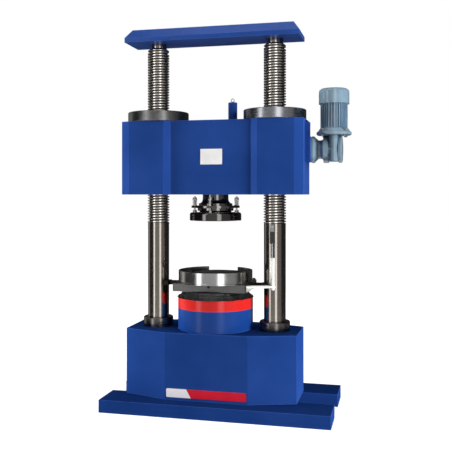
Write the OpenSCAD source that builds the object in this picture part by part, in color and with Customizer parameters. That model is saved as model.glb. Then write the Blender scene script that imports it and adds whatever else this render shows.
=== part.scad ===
// Two-column hydraulic compression testing machine, millimetres.
// Origin on the floor under the loading axis, +Z up, the operator stands at -Y.

/* [Floor skids] */
// Reach of the skids to the left of the loading axis
skid_left = 615; // [560:1:700]
// Reach of the skids to the right of the loading axis
skid_right = 720; // [600:1:800]
// Depth of one skid, front to back
skid_depth = 218; // [150:1:240]
// Distance from the middle plane to a skid's outer edge
skid_outer = 327; // [290:1:360]
// Height of a skid
skid_h = 74; // [50:1:120]
// Plate thickness of a skid
skid_wall = 12; // [6:1:20]
// Distance of the threaded foot pads to the left and right of the loading axis
pad_x = 560; // [500:1:570]
// Length of a foot pad
pad_l = 80; // [60:1:84]
// Core radius of the thread in a foot pad
pad_hole_r = 7; // [5:0.5:9]

/* [Base housing] */
// Half-width of the housing
base_half_w = 512; // [480:1:560]
// Half-depth of the housing at its two ends
base_end_half_d = 147; // [120:1:180]
// Half-width of the flat front and back panels
base_panel_half_w = 245; // [200:1:300]
// Half-depth of the housing at the front and back panels
base_half_d = 233; // [225:1:280]
// Height of the housing above the skids
base_h = 388; // [340:1:460]
// Wall thickness of the housing
base_wall = 16; // [8:1:24]
// Thickness of the top plate that carries the columns
base_top_t = 60; // [40:1:90]
// Thickness of the floor plate under the cylinder
base_floor_t = 25; // [12:1:40]
// Width of the service opening in the back panel
service_w = 360; // [260:1:420]
// Height of the service opening in the back panel
service_h = 200; // [140:1:260]
// How far the service cover overlaps the opening
service_lap = 20; // [10:1:30]
// Thickness of the service cover
service_t = 5; // [3:1:8]

/* [Columns] */
// Distance of each column from the loading axis
column_x = 361; // [340:1:380]
// Diameter of the smooth lower stretch
column_d = 129; // [110:1:130]
// Outer diameter of the threaded stretch
thread_d = 132; // [130:0.5:136]
// Smooth stretch of column above the base
smooth_l = 630; // [626:1:640]
// Height at which the threaded stretch ends
thread_z1 = 2139; // [2080:1:2200]
// Diameter of the neck that carries the top beam
neck_d = 100; // [80:1:110]
// Height of the chamfer between thread and neck
neck_chamfer = 12; // [4:1:20]
// Length of column below the base's top plate
column_tail = 96; // [70:1:120]
// Diameter of the round nut on the base
collar_d = 180; // [160:1:200]
// Height of the round nut on the base
collar_h = 55; // [40:1:70]
// Diameter of the spanner holes in the round nut
spanner_d = 13; // [8:1:18]
// Depth of the spanner holes
spanner_depth = 14; // [6:1:20]
// Diameter of the locking nut below the top plate
lock_nut_d = 190; // [170:1:210]
// Height of the locking nut
lock_nut_h = 70; // [50:1:90]

/* [Top beam] */
// Half-length of the top beam
beam_half_l = 530; // [500:1:560]
// Half-depth of the top beam
beam_half_d = 117; // [90:1:130]
// Offset of the beam's middle from the loading axis
beam_x = -8; // [-10:1:10]
// Underside of the beam above the end of the thread
beam_gap = 39; // [30:1:70]
// Height of the beam's upright rim
beam_rim_h = 27; // [15:1:40]
// Height of the bevelled crown above the rim
beam_crown_h = 53; // [30:1:70]
// How far the crown leans in on every side
beam_lean = 38; // [20:1:60]
// Diameter of the counterbore for the beam's fixing screw
beam_cbore_d = 50; // [36:1:60]
// Diameter of the hole for the beam's fixing screw
beam_screw_d = 31; // [20:1:34]

/* [Hydraulic cylinder] */
// Outer diameter of the cylinder above the base
cyl_d = 450; // [430:1:460]
// Height of the cylinder's top above the base
cyl_rise = 126; // [100:1:150]
// Outer diameter of the cylinder inside the base
cyl_barrel_d = 400; // [380:1:408]
// Bore of the cylinder
cyl_bore = 320; // [310:1:330]
// Thickness of the cylinder's bottom
cyl_bottom_t = 55; // [40:1:80]
// Height of the red gland ring
gland_h = 62; // [60:1:90]
// Diameter of the ram's rod
rod_d = 300; // [290:1:308]
// Length of the piston head
piston_h = 80; // [50:1:110]
// Height of the piston's underside above the cylinder's bottom
piston_lift = 25; // [5:1:60]
// Radial depth of a seal groove
seal_depth = 14; // [8:1:18]
// Height of a seal groove
seal_h = 16; // [10:1:20]

/* [Ram plate and lower platen] */
// Gap between the gland ring and the ram plate, ram down
boot_gap = 43; // [36:1:60]
// Half-width of the ram plate
plate_half_w = 221; // [200:1:228]
// Half-depth of the ram plate
plate_half_d = 163; // [150:1:200]
// Thickness of the ram plate
plate_t = 45; // [36:1:60]
// Corner chamfer of the ram plate
plate_chamfer = 10; // [4:1:20]
// Diameter of the lower platen
lower_d = 300; // [260:1:320]
// Thickness of the lower platen
lower_t = 52; // [40:1:60]
// Edge rounding of both platens
platen_round = 6; // [2:1:10]
// Outer diameter of the steel dust ring
ring_d = 444; // [420:1:446]
// Wall of the dust ring
ring_wall = 10; // [5:1:16]
// Height of the dust ring
ring_h = 70; // [62:1:90]
// Height of the lip at the foot of the dust ring
ring_lip_h = 6; // [4:1:10]
// How far the lip stands out
ring_lip = 4; // [2:1:6]
// Width of the cut-out in the back of the dust ring
ring_cut_w = 186; // [120:1:240]
// Depth of the cut-out from the ring's rim
ring_cut_h = 23; // [10:1:40]
// Mean diameter of the dust boot at the ram plate
boot_top_d = 372; // [350:1:380]
// Mean diameter of the dust boot at the gland ring
boot_foot_d = 432; // [410:1:440]
// Depth of the dust boot's folds
boot_fold = 12; // [6:1:16]
// Thickness of the dust boot
boot_t = 3; // [2:0.5:5]

/* [Guide arms and displacement sensor] */
// Height of a guide arm
arm_h = 24; // [16:1:30]
// Depth of a guide arm
arm_w = 30; // [20:1:40]
// Distance from the ram plate's top to the arm's middle
arm_drop = 13; // [6:1:24]
// Thickness of the pad that hugs the column
fork_t = 18; // [10:1:24]
// Width of the pad, front to back
fork_w = 84; // [60:1:100]
// Clearance between the pad and the column
fork_gap = 0.4; // [0.3:0.1:1]
// Diameter of the stop bolt on the right arm
stop_d = 15; // [10:1:18]
// Height of the stop bolt above the ram plate
stop_rise = 27; // [15:1:36]
// Distance of the sensor in front of the column's axis
sensor_y = 85; // [80:1:100]
// Outer diameter of the sensor's sleeve
sleeve_d = 25; // [22:1:32]
// Length of the sensor's sleeve
sleeve_l = 187; // [160:1:190]
// How far the sleeve hangs below the ram plate's top
sleeve_drop = 32; // [26:1:40]
// Diameter of the sensor's rod
rod_sensor_d = 17; // [12:1:19]
// Length of rod inside the sleeve at rest
rod_in_sleeve = 93; // [90:1:100]
// Distance from the sleeve's top to the sensor head
sensor_gap = 84; // [82:1:100]
// Width of the sensor head
head_w = 27; // [22:1:36]
// Height of the sensor head
head_h = 69; // [50:1:72]
// Height of the clip that holds the head
clip_h = 40; // [24:1:40]
// Thickness of the white bracket
bracket_t = 13; // [8:1:16]

/* [Crosshead] */
// Underside of the crosshead at rest
head_z = 1260; // [1250:1:1280]
// Height of the crosshead
head_height = 438; // [420:1:460]
// Half-length of the crosshead
head_half_l = 549; // [545:1:570]
// Half-depth of the crosshead at its two ends
head_end_half_d = 130; // [115:1:140]
// Half-length to the end chamfer
head_chamfer_x = 497; // [485:1:510]
// Half-depth of the crosshead at the columns
head_half_d = 152; // [148:1:170]
// Half-length to the outer edge of the middle recess
recess_outer = 280; // [262:1:286]
// Half-length to the inner edge of the middle recess
recess_inner = 243; // [220:1:248]
// Depth of the middle recess
recess_t = 24; // [10:1:26]
// Wall of the crosshead
head_wall = 16; // [10:1:18]
// Thickness of the crosshead's bottom plate
head_bottom_t = 60; // [50:1:80]
// Thickness of the crosshead's top plate
head_top_t = 50; // [40:1:60]
// Diameter of the nut covers
cover_d = 370; // [340:1:380]
// Height of the nut covers
cover_h = 60; // [40:1:80]
// Diameter of the nut openings in the top plate
nut_hole_d = 256; // [244:1:262]
// Gap between a nut cover and the column
cover_gap = 3; // [1:0.5:6]
// Diameter of the lifting post
post_d = 54; // [40:1:64]
// Height of the lifting post
post_h = 112; // [80:1:130]
// Distance of the lifting post to the right of the loading axis
post_x = 106; // [80:1:130]
// Outer diameter of the lifting eye
eye_d = 24; // [18:1:30]
// Thickness of the lifting eye's ring
eye_wire = 5; // [4:0.5:6]

/* [Nut drive] */
// Outer diameter of the lead nuts
nut_d = 160; // [152:1:166]
// Outer diameter of the thrust rings
thrust_d = 186; // [174:1:200]
// Height of a thrust ring
thrust_h = 25; // [18:1:30]
// Outer diameter of the guide bushes in the bottom plate
bush_d = 150; // [140:1:160]
// Pitch diameter of the chain sprocket on each nut
sprocket_d = 178; // [172:1:190]
// Width of the sprocket
sprocket_w = 12; // [8:1:18]
// Thickness of the chain
chain_t = 9; // [6:1:10]
// Height of the sprockets above the crosshead's underside
sprocket_z = 222; // [200:1:236]
// Height of the spur gear above the crosshead's underside
gear_z = 140; // [120:1:150]
// Width of the spur gear
gear_w = 35; // [24:1:44]
// Distance of the upright layshaft from the crosshead's end
lay_inset = 57; // [55:1:60]
// Ratio of the spur gears
spur_ratio = 3; // [2.8:0.1:3.2]
// Number of teeth of the spur pinion
pinion_teeth = 18; // [16:1:20]
// Diameter of the layshaft
lay_d = 24; // [18:1:28]
// Radius of the bevel wheel on the layshaft
bevel_wheel_r = 30; // [26:1:32]
// Radius of the bevel pinion on the output shaft
bevel_pinion_r = 20; // [18:1:22]
// Gap between gears that run together
mesh_gap = 0.6; // [0.4:0.1:1]

/* [Gearbox] */
// Distance of the output shaft behind the middle plane
out_y = 25; // [15:1:30]
// Height of the output shaft above the crosshead's underside
out_z = 263; // [260:1:275]
// Diameter of the output shaft
out_d = 28; // [22:1:32]
// Thickness of the motor mount plate
mount_t = 30; // [20:1:34]
// Half-width of the mount plate
mount_half_w = 79; // [78:1:90]
// Height of the mount plate
mount_h = 224; // [180:1:240]
// How far the mount plate reaches below the output shaft
mount_drop = 72; // [66:1:80]
// Thickness of the lug that rises at the plate's front
mount_lug = 12; // [8:1:20]
// Diameter of the gearbox's round flanges
gear_case_d = 156; // [140:1:160]
// Length of the neck between plate and gearbox
neck_l = 68; // [60:1:90]
// Diameter of the neck's waist
neck_waist_d = 108; // [96:1:120]
// Width of the gearbox
case_w = 108; // [96:1:116]
// Width of the gearbox's cover
case_cover_w = 24; // [22:1:26]
// Distance of the worm's axis from the gearbox's outer face
worm_inset = 45; // [44:1:50]
// Width of the gearbox's inner flange
case_flange_w = 28; // [20:1:32]
// Distance between the worm's axis and the output shaft
worm_offset = 50; // [48:1:54]
// Radius of the worm
worm_r = 12; // [10:1:14]
// Number of ribs on the gearbox's waist
case_ribs = 10; // [6:1:14]

/* [Motor] */
// Diameter of the motor's flange
flange_d = 200; // [180:1:210]
// Height of the motor's flange
flange_h = 40; // [30:1:50]
// Diameter of the motor's body over the fins
motor_d = 156; // [150:1:164]
// Height of the finned body
motor_h = 139; // [120:1:160]
// Depth of a cooling fin
fin_h = 9; // [6:1:12]
// Thickness of a cooling fin
fin_t = 3.2; // [2.5:0.1:4]
// Number of cooling fins
fins = 32; // [24:1:36]
// Diameter of the fan cowl
cowl_d = 174; // [168:1:182]
// Height of the fan cowl
cowl_h = 88; // [80:1:110]
// Rounding of the cowl's top edge
cowl_round = 22; // [12:1:30]
// Thickness of the cowl
cowl_t = 2.5; // [2:0.5:4]
// Thickness of the end shield inside the cowl
shield_t = 8; // [5:1:10]
// Diameter of the motor's rotor
rotor_d = 84; // [70:1:90]
// Diameter of the motor's shaft
shaft_d = 22; // [18:1:24]
// Number of fan blades
blades = 7; // [5:1:9]

/* [Upper platen] */
// Diameter of the upper platen
upper_d = 310; // [290:1:320]
// Thickness of the upper platen
upper_t = 48; // [40:1:60]
// Distance from the crosshead's underside to the platen's face
platen_drop = 155; // [150:1:160]
// Diameter of the neck under the crosshead
seat_neck_d = 155; // [130:1:164]
// Length of the straight neck
seat_neck_h = 26; // [20:1:34]
// Diameter of the seat at the hanger ring
seat_flare_d = 202; // [190:1:206]
// Height of the seat's rim above the hanger ring
seat_rim_h = 14; // [4:1:18]
// Diameter of the cup below the hanger ring
seat_cup_d = 216; // [212:1:224]
// Radius of the ball segment about the platen's face
ball_r = 110; // [106:1:114]
// Thickness of the seat's liner
liner_t = 4.4; // [3:0.2:6]
// Clearance of the spherical faces
ball_gap = 0.3; // [0.3:0.1:0.5]
// Diameter of the hanger ring
hanger_ring_d = 290; // [284:1:300]
// Thickness of the hanger ring
hanger_ring_t = 12; // [8:1:14]
// Gap between the seat cup and the platen
cup_gap = 10; // [9:1:13]
// Radius of the circle of hanger bolts
hanger_r = 130; // [125:1:132]
// Diameter of a hanger bolt
hanger_d = 10; // [8:1:12]
// Length of a hanger bolt above the hanger ring
hanger_rise = 58; // [50:1:62]
// Depth of a hanger bolt in the platen
hanger_depth = 30; // [20:1:34]
// Height of a hanger bolt's nut
hanger_nut_h = 10; // [8:1:12]
// Across-flats size of a hanger bolt's nut
hanger_nut_af = 22; // [16:1:24]
// Height of the jam nut on the platen
hanger_jam_h = 14; // [8:1:16]
// Mean diameter of a hanger spring
spring_d = 25; // [24.5:0.5:27]
// Wire thickness of a hanger spring
spring_wire = 3; // [2:0.5:3.5]
// Turns of a hanger spring
spring_turns = 5; // [4:1:7]

/* [Plates] */
// Left end of the name strip on the base
strip_x0 = -235; // [-240:1:-200]
// Right end of the name strip on the base
strip_x1 = 237; // [200:1:240]
// Height of the name strip above the base's foot
strip_z = 17; // [10:1:60]
// Height of the name strip
strip_h = 50; // [30:1:60]
// Width of the square plate on the crosshead
badge_w = 131; // [100:1:160]
// Height of the plate on the crosshead
badge_h = 91; // [80:1:120]
// Distance of that plate's middle from the loading axis
badge_x = 6; // [-20:1:30]
// Height of that plate's middle above the crosshead's underside
badge_z = 222; // [180:1:240]
// Thickness of both plates
sign_t = 2; // [1:0.5:3]

/* [Oil ports] */
// Width of the oil port block
port_w = 120; // [100:1:160]
// Height of the oil port block
port_h = 60; // [50:1:80]
// Depth of the oil port block
port_depth = 50; // [40:1:60]
// Distance between the two ports
port_pitch = 60; // [50:1:64]
// Radius of a port's thread core
port_r = 9.5; // [8:0.5:12]
// Depth of a port
port_hole = 26; // [20:1:32]

/* [Fits] */
// Radial clearance of pieces that fit in each other
fit = 0.05; // [0.02:0.01:0.1]

/* [Hidden] */
$fn = 96;
base_top = skid_h + base_h;
cyl_top = base_top + cyl_rise;
gland_top = cyl_top + gland_h;
plate_z = gland_top + boot_gap;
plate_top = plate_z + plate_t;
cyl_floor = skid_h + base_floor_t + cyl_bottom_t;
piston_z = cyl_floor + piston_lift;
column_foot = base_top - base_top_t - column_tail;
beam_z = thread_z1 + beam_gap;
arm_z = plate_top - arm_drop;
column_r = column_d / 2;
thread_z0 = base_top + smooth_l;
thread_r = thread_d / 2;
head_top = head_z + head_height;
head_floor = head_z + head_bottom_t;
head_roof = head_top - head_top_t;
nut_z0 = head_floor + thrust_h;
nut_z1 = head_roof - thrust_h;
shaft_z = head_z + out_z;
mount_x = head_half_l + mount_t;
case_x = mount_x + neck_l;
case_end = case_x + case_w;
motor_x = case_end - worm_inset;
motor_y = out_y - worm_offset;
motor_z = shaft_z + gear_case_d / 2 + 0.5;
body_z = motor_z + flange_h;
cowl_z = body_z + motor_h;
lay_x = head_half_l - lay_inset;
lay_distance = norm([lay_x - column_x, out_y]);
pinion_r = lay_distance / (1 + spur_ratio);
drive_r = lay_distance - pinion_r;
tooth = 2 * pinion_r / pinion_teeth;
gear_teeth = round(pinion_teeth * spur_ratio);
sensor_z0 = plate_top - sleeve_drop;
sleeve_top = sensor_z0 + sleeve_l;
sensor_head_z = sleeve_top + sensor_gap;
clip_z = sensor_head_z + head_h;
platen_z = head_z - platen_drop;
platen_top = platen_z + upper_t;
cup_z = platen_top + cup_gap;
hanger_z = cup_z + 18;
hanger_top = hanger_z + hanger_ring_t;
cup_r = ball_r + liner_t + 2 * ball_gap;
ball_flat = 96;
hub_r = 15;

// Plan of the base, with every wall moved in by w.
function base_plan(w) =
    let (
        lean = atan2(base_half_d - base_end_half_d, base_half_w - base_panel_half_w),
        x0 = base_panel_half_w - w * tan(lean / 2),
        x1 = base_half_w - w,
        y0 = base_half_d - w,
        y1 = base_end_half_d - w * tan((90 - lean) / 2)
    )
    [[-x1, -y1], [-x0, -y0], [x0, -y0], [x1, -y1], [x1, y1], [x0, y0], [-x0, y0], [-x1, y1]];

// Front half of the crosshead's plan, with every wall moved in by w.
function head_front(w) =
    let (
        end_lean = atan2(head_half_d - head_end_half_d, head_half_l - head_chamfer_x),
        dip_lean = atan2(recess_t, recess_outer - recess_inner),
        y0 = head_half_d - w,
        y1 = head_half_d - recess_t - w,
        ends = [
            [head_half_l - w, head_end_half_d - w * tan((90 - end_lean) / 2)],
            [head_chamfer_x - w * tan(end_lean / 2), y0],
            [recess_outer + w * tan(dip_lean / 2), y0],
            [recess_inner + w * tan(dip_lean / 2), y1]
        ]
    )
    concat([for (p = ends) [-p[0], -p[1]]], [for (i = [3:-1:0]) [ends[i][0], -ends[i][1]]]);

function head_plan(w) =
    let (front = head_front(w))
    concat(front, [for (i = [len(front) - 1:-1:0]) [front[i][0], -front[i][1]]]);

// Points of a round corner in a turned profile, from one angle to another.
function corner(centre, r, a0, a1, steps = 5) =
    [for (i = [0:steps]) centre + r * [cos(a0 + (a1 - a0) * i / steps), sin(a0 + (a1 - a0) * i / steps)]];

// A round bar along +Z from z0 to z1.
module bar(d, z0, z1) {
    translate([0, 0, z0]) cylinder(d = d, h = z1 - z0);
}

// A turned tube along +Z from z0 to z1.
module tube(outer, inner, z0, z1) {
    difference() {
        bar(outer, z0, z1);
        bar(inner, z0 - 1, z1 + 1);
    }
}

module at_column(side) {
    translate([side * column_x, 0, 0]) children();
}

// Lays a piece modelled along +Z so that it points along +X from x.
module along_x(x) {
    translate([x, out_y, shaft_z]) rotate([0, 90, 0]) children();
}

module at_motor() {
    translate([motor_x, motor_y, 0]) children();
}

// Inverted channel with closed ends, welded from plate, with two threaded foot pads.
module skid(side) {
    length = skid_left + skid_right;
    y0 = side > 0 ? skid_outer - skid_depth : -skid_outer;
    color("#1d3f80") difference() {
        union() {
            difference() {
                translate([-skid_left, y0, 0]) cube([length, skid_depth, skid_h]);
                translate([skid_wall - skid_left, y0 + skid_wall, -1])
                    cube([length - 2 * skid_wall, skid_depth - 2 * skid_wall, skid_h - skid_wall + 1]);
            }
            for (x = [-pad_x, pad_x])
                translate([x - pad_l / 2, y0 + 1, 0]) cube([pad_l, skid_depth - 2, skid_wall]);
        }
        for (x = [-pad_x, pad_x])
            translate([x, y0 + skid_depth / 2, -1]) cylinder(r = pad_hole_r, h = skid_wall + 2, $fn = 48);
    }
}

module base_housing() {
    mid = skid_h + base_floor_t + (base_h - base_floor_t - base_top_t) / 2;
    color("#1e3f82") difference() {
        translate([0, 0, skid_h]) linear_extrude(base_h) polygon(base_plan(0));
        translate([0, 0, skid_h + base_floor_t])
            linear_extrude(base_h - base_floor_t - base_top_t) polygon(base_plan(base_wall));
        for (side = [-1, 1])
            at_column(side) bar(column_d + 2 * fit, base_top - base_top_t - 1, base_top + 1);
        bar(cyl_barrel_d + 2 * fit, base_top - base_top_t - 1, base_top + 1);
        translate([-service_w / 2, base_half_d - base_wall - 1, mid - service_h / 2])
            cube([service_w, base_wall + 2, service_h]);
    }
}

module rear_cover() {
    mid = skid_h + base_floor_t + (base_h - base_floor_t - base_top_t) / 2;
    w = service_w + 2 * service_lap;
    h = service_h + 2 * service_lap;
    color("#1e3f82") translate([-w / 2, base_half_d, mid - h / 2]) difference() {
        cube([w, service_t, h]);
        for (x = [service_lap / 2, w - service_lap / 2], z = [service_lap / 2, h / 2, h - service_lap / 2])
            translate([x, -1, z]) rotate([-90, 0, 0]) cylinder(d = 7, h = service_t + 2, $fn = 24);
    }
}

// Pressure and return ports, on the back of the base under the cover.
module oil_port_block() {
    color("dimgray") translate([0, base_half_d + service_t, skid_h + base_floor_t + port_h / 2])
        difference() {
            translate([-port_w / 2, 0, -port_h / 2]) cube([port_w, port_depth, port_h]);
            for (side = [-1, 1])
                translate([side * port_pitch / 2, port_depth - port_hole, 0])
                    rotate([-90, 0, 0]) cylinder(r = port_r, h = port_hole + 1, $fn = 48);
        }
}

module column(side) {
    color("#8a8278") at_column(side) difference() {
        rotate_extrude() polygon([
            [0, column_foot], [column_r, column_foot], [column_r, thread_z0],
            [thread_r, thread_z0 + thread_r - column_r], [thread_r, thread_z1],
            [neck_d / 2, thread_z1 + neck_chamfer], [neck_d / 2, beam_z + beam_rim_h],
            [0, beam_z + beam_rim_h]
        ]);
        bar(beam_screw_d - 4, beam_z - 30, beam_z + beam_rim_h + 1);
    }
}

// Round nut with six radial holes for a hook spanner.
module column_collar(side, turn) {
    color("#33312f") at_column(side) difference() {
        rotate_extrude() polygon([
            [column_r + fit, base_top], [collar_d / 2, base_top],
            [collar_d / 2, base_top + collar_h - 4], [collar_d / 2 - 4, base_top + collar_h],
            [column_r + fit, base_top + collar_h]
        ]);
        for (i = [0:5])
            rotate([0, 0, turn + 60 * i])
                translate([collar_d / 2 - spanner_depth, 0, base_top + collar_h / 2])
                    rotate([0, 90, 0]) cylinder(d = spanner_d, h = spanner_depth + 1, $fn = 32);
    }
}

module column_lock_nuts() {
    z1 = base_top - base_top_t;
    color("#4a4846") for (side = [-1, 1])
        at_column(side) tube(lock_nut_d, column_d + 2 * fit, z1 - lock_nut_h, z1);
}

// Side view of the beam along one axis: upright rim, then a crown that leans in.
function beam_profile(half) = [
    [-half, 0], [half, 0], [half, beam_rim_h], [half - beam_lean, beam_rim_h + beam_crown_h],
    [beam_lean - half, beam_rim_h + beam_crown_h], [-half, beam_rim_h]
];

module top_beam() {
    top = beam_z + beam_rim_h + beam_crown_h;
    color("#28509a") difference() {
        intersection() {
            translate([beam_x, beam_half_d, beam_z]) rotate([90, 0, 0])
                linear_extrude(2 * beam_half_d) polygon(beam_profile(beam_half_l));
            translate([beam_x - beam_half_l, 0, beam_z]) rotate([90, 0, 90])
                linear_extrude(2 * beam_half_l) polygon(beam_profile(beam_half_d));
        }
        for (side = [-1, 1]) at_column(side) {
            bar(neck_d + 2 * fit, beam_z - 1, beam_z + beam_rim_h);
            bar(beam_screw_d, beam_z, top + 1);
            bar(beam_cbore_d, top - 30, top + 1);
        }
    }
}

module main_cylinder() {
    barrel = cyl_barrel_d / 2;
    z0 = skid_h + base_floor_t;
    color("#2a55a0") rotate_extrude() polygon([
        [0, z0], [barrel, z0], [barrel, base_top], [cyl_d / 2, base_top], [cyl_d / 2, cyl_top],
        [cyl_bore / 2, cyl_top], [cyl_bore / 2, cyl_floor], [0, cyl_floor]
    ]);
}

// Lower edge of each seal groove in the gland ring.
function seal_edges() = [cyl_top + 0.2 * gland_h, cyl_top + 0.6 * gland_h];

module gland_ring() {
    color("#dc2a22") difference() {
        tube(cyl_d, rod_d + 2 * fit, cyl_top, gland_top);
        for (z = seal_edges()) bar(rod_d + 2 * seal_depth, z, z + seal_h);
    }
}

module cylinder_seals() {
    color("#26262a") for (z = seal_edges())
        tube(rod_d + 2 * seal_depth - 2 * fit, rod_d + 2 * fit, z + fit, z + seal_h - fit);
}

module ram() {
    piston_r = cyl_bore / 2 - fit;
    color("silver") rotate_extrude() polygon([
        [0, piston_z], [piston_r - 3, piston_z], [piston_r, piston_z + 3],
        [piston_r, piston_z + piston_h], [rod_d / 2, piston_z + piston_h],
        [rod_d / 2, plate_z], [0, plate_z]
    ]);
}

module ram_plate() {
    w = plate_half_w;
    d = plate_half_d;
    c = plate_chamfer;
    color("#4b4a49") difference() {
        translate([0, 0, plate_z]) linear_extrude(plate_t) polygon([
            [-w, c - d], [c - w, -d], [w - c, -d], [w, c - d],
            [w, d - c], [w - c, d], [c - w, d], [-w, d - c]
        ]);
        translate([0, -d - 1, plate_z + 0.72 * plate_t])
            rotate([-90, 0, 0]) cylinder(d = 8, h = 25, $fn = 32);
    }
}

module lower_platen() {
    r = lower_d / 2;
    e = platen_round;
    color("#5a5856") rotate_extrude() polygon(concat(
        [[0, plate_top], [r - 2, plate_top], [r, plate_top + 2]],
        corner([r - e, plate_top + lower_t - e], e, 0, 90),
        [[0, plate_top + lower_t]]
    ));
}

// Steel ring that keeps debris off the ram plate, lower at the back.
module dust_ring() {
    r = ring_d / 2;
    z1 = plate_top + ring_h;
    color("#c9c9c7") difference() {
        rotate_extrude() polygon([
            [r - ring_wall, plate_top], [r + ring_lip, plate_top], [r + ring_lip, plate_top + ring_lip_h],
            [r, plate_top + ring_lip_h + 2], [r, z1 - 1], [r - 1, z1], [r - ring_wall, z1]
        ]);
        translate([-ring_cut_w / 2, 0, z1 - ring_cut_h]) cube([ring_cut_w, r + 10, ring_cut_h + 1]);
    }
}

// Folded sleeve between the gland ring and the ram plate.
module dust_boot() {
    gap = 0.3;
    folds = 4;
    z0 = gland_top + gap;
    z1 = plate_z - gap;
    mean = [for (i = [0:folds]) [
        (boot_foot_d + (boot_top_d - boot_foot_d) * i / folds) / 2 + (i % 2 == 0 ? 0 : -boot_fold / 2),
        z0 + (z1 - z0) * i / folds
    ]];
    color("#2b2a2b") rotate_extrude() polygon(concat(
        [for (p = mean) p + [boot_t, 0]],
        [for (i = [folds:-1:0]) mean[i] - [boot_t, 0]]
    ));
}

// Arm that slides along the column and keeps the ram from turning.
module guide_arm(side) {
    inner = column_r + fork_gap;
    color("#1f1e1e") translate([0, 0, arm_z - arm_h / 2]) difference() {
        union() {
            translate([side > 0 ? plate_half_w : -column_x, -arm_w / 2, 0])
                cube([column_x - plate_half_w, arm_w, arm_h]);
            at_column(side) intersection() {
                cylinder(r = inner + fork_t, h = arm_h);
                translate([-column_d, -fork_w / 2, 0]) cube([2 * column_d, fork_w, arm_h]);
            }
        }
        at_column(side) translate([0, 0, -1]) cylinder(r = inner, h = arm_h + 2);
        translate([side > 0 ? column_x : -column_x - 2 * column_d, -column_d, -1])
            cube([2 * column_d, 2 * column_d, arm_h + 2]);
    }
}

module stop_bolt() {
    z1 = plate_top + stop_rise;
    z0 = arm_z + arm_h / 2;
    color("#5d6257") translate([plate_half_w + stop_d, 0, 0]) {
        bar(stop_d * 0.7, z0, z1 - stop_d * 0.6);
        translate([0, 0, z1 - stop_d * 0.6]) cylinder(d = stop_d * 1.15, h = stop_d * 0.6, $fn = 6);
        translate([0, 0, z0]) cylinder(d = stop_d * 1.15, h = stop_d * 0.5, $fn = 6);
    }
}

// White arm from the ram plate's front right corner to the sensor's sleeve.
module sensor_bracket() {
    z1 = plate_top - 5;
    x0 = plate_half_w;
    root = plate_half_d - plate_chamfer;
    color("#f2f2f0") difference() {
        union() {
            translate([0, 0, z1 - bracket_t]) linear_extrude(bracket_t) polygon([
                [x0, -root], [column_x, -sensor_y - sleeve_d / 2 - 5],
                [column_x + sleeve_d / 2 + 5, -sensor_y - 5], [column_x + sleeve_d / 2 + 5, -sensor_y + 3],
                [column_x - 10, -sensor_y + sleeve_d / 2 + 3], [x0, 30 - root]
            ]);
            translate([0, 6 - root, 0]) rotate([90, 0, 0]) linear_extrude(6) polygon([
                [x0, z1 - bracket_t - 22], [x0 + 42, z1 - bracket_t], [x0, z1 - bracket_t]
            ]);
        }
        translate([column_x, -sensor_y, 0]) bar(sleeve_d + 2 * fit, z1 - bracket_t - 1, z1 + 1);
    }
}

module sensor_sleeve() {
    bore = rod_sensor_d + 2 * fit;
    color("#f4f4f2") translate([column_x, -sensor_y, 0]) difference() {
        rotate_extrude() polygon([
            [0, sensor_z0], [sleeve_d / 2 - 2, sensor_z0], [sleeve_d / 2, sensor_z0 + 2],
            [sleeve_d / 2, sleeve_top - 2], [sleeve_d / 2 - 2, sleeve_top], [0, sleeve_top]
        ]);
        bar(bore, sensor_z0 + 6, sleeve_top + 1);
    }
}

module sensor_rod() {
    color("#8f9193") translate([column_x, -sensor_y, 0])
        bar(rod_sensor_d, sleeve_top - rod_in_sleeve, sensor_head_z);
}

module sensor_head() {
    color("#202022") translate([column_x, -sensor_y, sensor_head_z]) difference() {
        linear_extrude(head_h) {
            square([head_w - 8, head_w], center = true);
            square([head_w, head_w - 8], center = true);
            for (x = [-1, 1], y = [-1, 1])
                translate([x, y] * (head_w / 2 - 4)) circle(r = 4, $fn = 32);
        }
        for (z = [0.25, 0.5, 0.75])
            translate([-head_w, -head_w / 2 - 1, head_h * z]) cube([2 * head_w, 3, 3]);
    }
}

// Saddle screwed to the right column, with the sensor head hung under it.
module sensor_clip() {
    y0 = sensor_y + head_w / 2;
    color("#b9bab8") translate([column_x, 0, clip_z]) difference() {
        translate([-head_w / 2, -y0, 0]) cube([head_w, y0 - column_r / 2, clip_h]);
        translate([0, 0, -1]) cylinder(r = column_r + fit, h = clip_h + 2);
    }
}

// Flat plate with round corners, standing in the XZ plane.
module sign(w, h, r) {
    rotate([90, 0, 0]) linear_extrude(sign_t) {
        translate([r, 0]) square([w - 2 * r, h]);
        translate([0, r]) square([w, h - 2 * r]);
        for (x = [r, w - r], y = [r, h - r]) translate([x, y]) circle(r = r, $fn = 32);
    }
}

module name_strip() {
    color("#d2232a") translate([strip_x0, -base_half_d, skid_h + strip_z])
        sign(strip_x1 - strip_x0, strip_h, 8);
}

module crosshead_badge() {
    z0 = head_z + badge_z - badge_h / 2;
    color("#f1f1ee") translate([badge_x - badge_w / 2, recess_t - head_half_d, z0])
        sign(badge_w, badge_h, 1);
}

// Shelves in the right end of the crosshead that carry the layshaft.
module lay_shelves() {
    half = lay_d / 2 + 12;
    for (z = [head_floor + 20, shaft_z + 40])
        translate([lay_x - half, out_y - half, z])
            cube([head_half_l - head_wall - lay_x + half + 1, 2 * half, 18]);
}

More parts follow.
